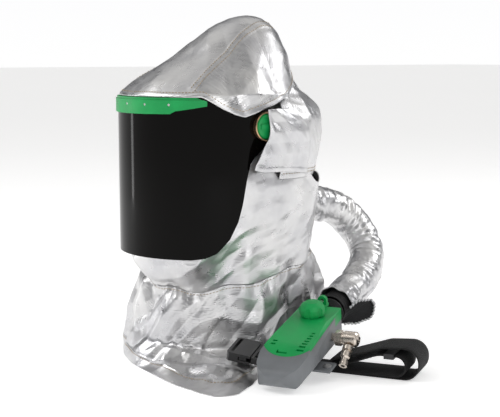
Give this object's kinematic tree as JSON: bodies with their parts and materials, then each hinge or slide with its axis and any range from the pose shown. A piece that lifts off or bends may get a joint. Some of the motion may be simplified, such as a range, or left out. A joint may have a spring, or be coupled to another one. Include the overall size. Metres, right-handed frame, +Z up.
{
  "type": "supplied air respirator",
  "caption": "Hooded respirator with a flip-up tinted visor, an aluminised cape, a sleeved breathing hose and a belt-worn air control unit on its webbing belt.",
  "frame": {"origin": "centre of the bounding box's base without the breathing hose and its sleeve, on the surface that the cape and the belt unit stand on", "axes": "+Z up, the wearer faces -Y, the wearer's left is +X"},
  "size_m": [0.427, 0.3872, 0.435],
  "materials": {
    "aluminised_fabric": "reflective aluminised cloth, crinkled",
    "green_plastic": "satin moulded",
    "grey_plastic": "satin moulded",
    "black_plastic": "satin moulded",
    "tinted_lens": "polished dark tint",
    "clear_lens": "clear polished",
    "webbing": "woven",
    "nickel": "nickel plated",
    "rubber": "matte",
    "foam": "open cell",
    "knit": "ribbed knit",
    "shell_plastic": "satin moulded",
    "steel": "plain",
    "bronze": "dull bronze"
  },
  "bodies": {
    "hood": {"air_duct": "shell_plastic", "belt_clip": "grey_plastic", "belt_slider": "black_plastic", "belt_webbing": "webbing", "breathing_hose": "rubber", "brow_peak": "shell_plastic", "buckle_prong_far": "black_plastic", "buckle_prong_near": "black_plastic", "buckle_strap": "webbing", "buckle_tongue": "black_plastic", "cheek_panel_left": "aluminised_fabric", "cheek_panel_right": "aluminised_fabric", "clip_rivet": "steel", "crown_cover": "aluminised_fabric", "crown_straps": "shell_plastic", "face_frame": "black_plastic", "headband": "shell_plastic", "helmet_shell": "shell_plastic", "hood_rear": "aluminised_fabric", "hose_inlet": "black_plastic", "hose_latch": "green_plastic", "hose_sleeve": "aluminised_fabric", "housing_screws": "steel", "inlet_adapter": "nickel", "inner_collar": "knit", "inner_window": "clear_lens", "muffler": "foam", "neck_shroud": "aluminised_fabric", "outlet_spigot": "black_plastic", "pivot_bracket_left": "shell_plastic", "pivot_bracket_right": "shell_plastic", "pivot_post_left": "steel", "pivot_post_right": "steel", "pivot_washer_left": "black_plastic", "pivot_washer_right": "black_plastic", "ratchet_housing": "black_plastic", "shoulder_cape": "aluminised_fabric", "sleeve_flap": "aluminised_fabric", "sweatband": "foam", "unit_cover": "green_plastic", "unit_housing": "grey_plastic", "vortex_tube": "nickel", "window_gasket": "rubber"},
    "visor": {"visor_lens": "tinted_lens", "visor_brow_band": "green_plastic", "band_rivets": "steel"},
    "knob_left": {"pivot_knob_left": "green_plastic", "knob_rim_left": "bronze"},
    "knob_right": {"pivot_knob_right": "green_plastic", "knob_rim_right": "bronze"},
    "ratchet": {"ratchet_knob": "black_plastic", "ratchet_stem": "steel"},
    "valve": {"valve_knob": "green_plastic", "valve_stem": "steel"},
    "collar": {"hose_collar": "black_plastic"},
    "inlet_swivel": {"swivel_barrel": "nickel", "air_plug": "nickel"},
    "buckle": {"buckle_socket": "black_plastic"}
  },
  "joints": [
    {"name": "visor_flip", "type": "hinge", "parent": "hood", "child": "visor", "pos_m": [-0.05324, -0.0202, 0.299], "axis": [-1, 0, 0], "range_deg": [0, 70], "deforming": ["crown_cover"]},
    {"name": "knob_left_turn", "type": "hinge", "parent": "hood", "child": "knob_left", "pos_m": [0.05216, -0.0202, 0.299], "axis": [1, 0, 0], "range_deg": [-90, 90]},
    {"name": "knob_right_turn", "type": "hinge", "parent": "hood", "child": "knob_right", "pos_m": [-0.15864, -0.0202, 0.299], "axis": [-1, 0, 0], "range_deg": [-90, 90]},
    {"name": "ratchet_turn", "type": "hinge", "parent": "hood", "child": "ratchet", "pos_m": [-0.05324, 0.0744, 0.2705], "axis": [0, 1, 0], "range_deg": [-180, 180]},
    {"name": "valve_turn", "type": "hinge", "parent": "hood", "child": "valve", "pos_m": [0.08819, 0.02693, 0.06712], "axis": [0.0873, -0.1481, 0.9851], "range_deg": [0, 270]},
    {"name": "collar_turn", "type": "hinge", "parent": "hood", "child": "collar", "pos_m": [0.06533, 0.06573, 0.05336], "axis": [-0.5, 0.8488, 0.1719], "range_deg": [0, 90]},
    {"name": "inlet_swivel_turn", "type": "hinge", "parent": "hood", "child": "inlet_swivel", "pos_m": [0.11959, 0.03864, 0.04245], "axis": [0.8616, 0.5075, 0], "range_deg": [-180, 5]},
    {"name": "buckle_release", "type": "slide", "parent": "hood", "child": "buckle", "axis": [-0.7909, -0.596, 0.1392], "range_m": [0, 0.03]}
  ]
}
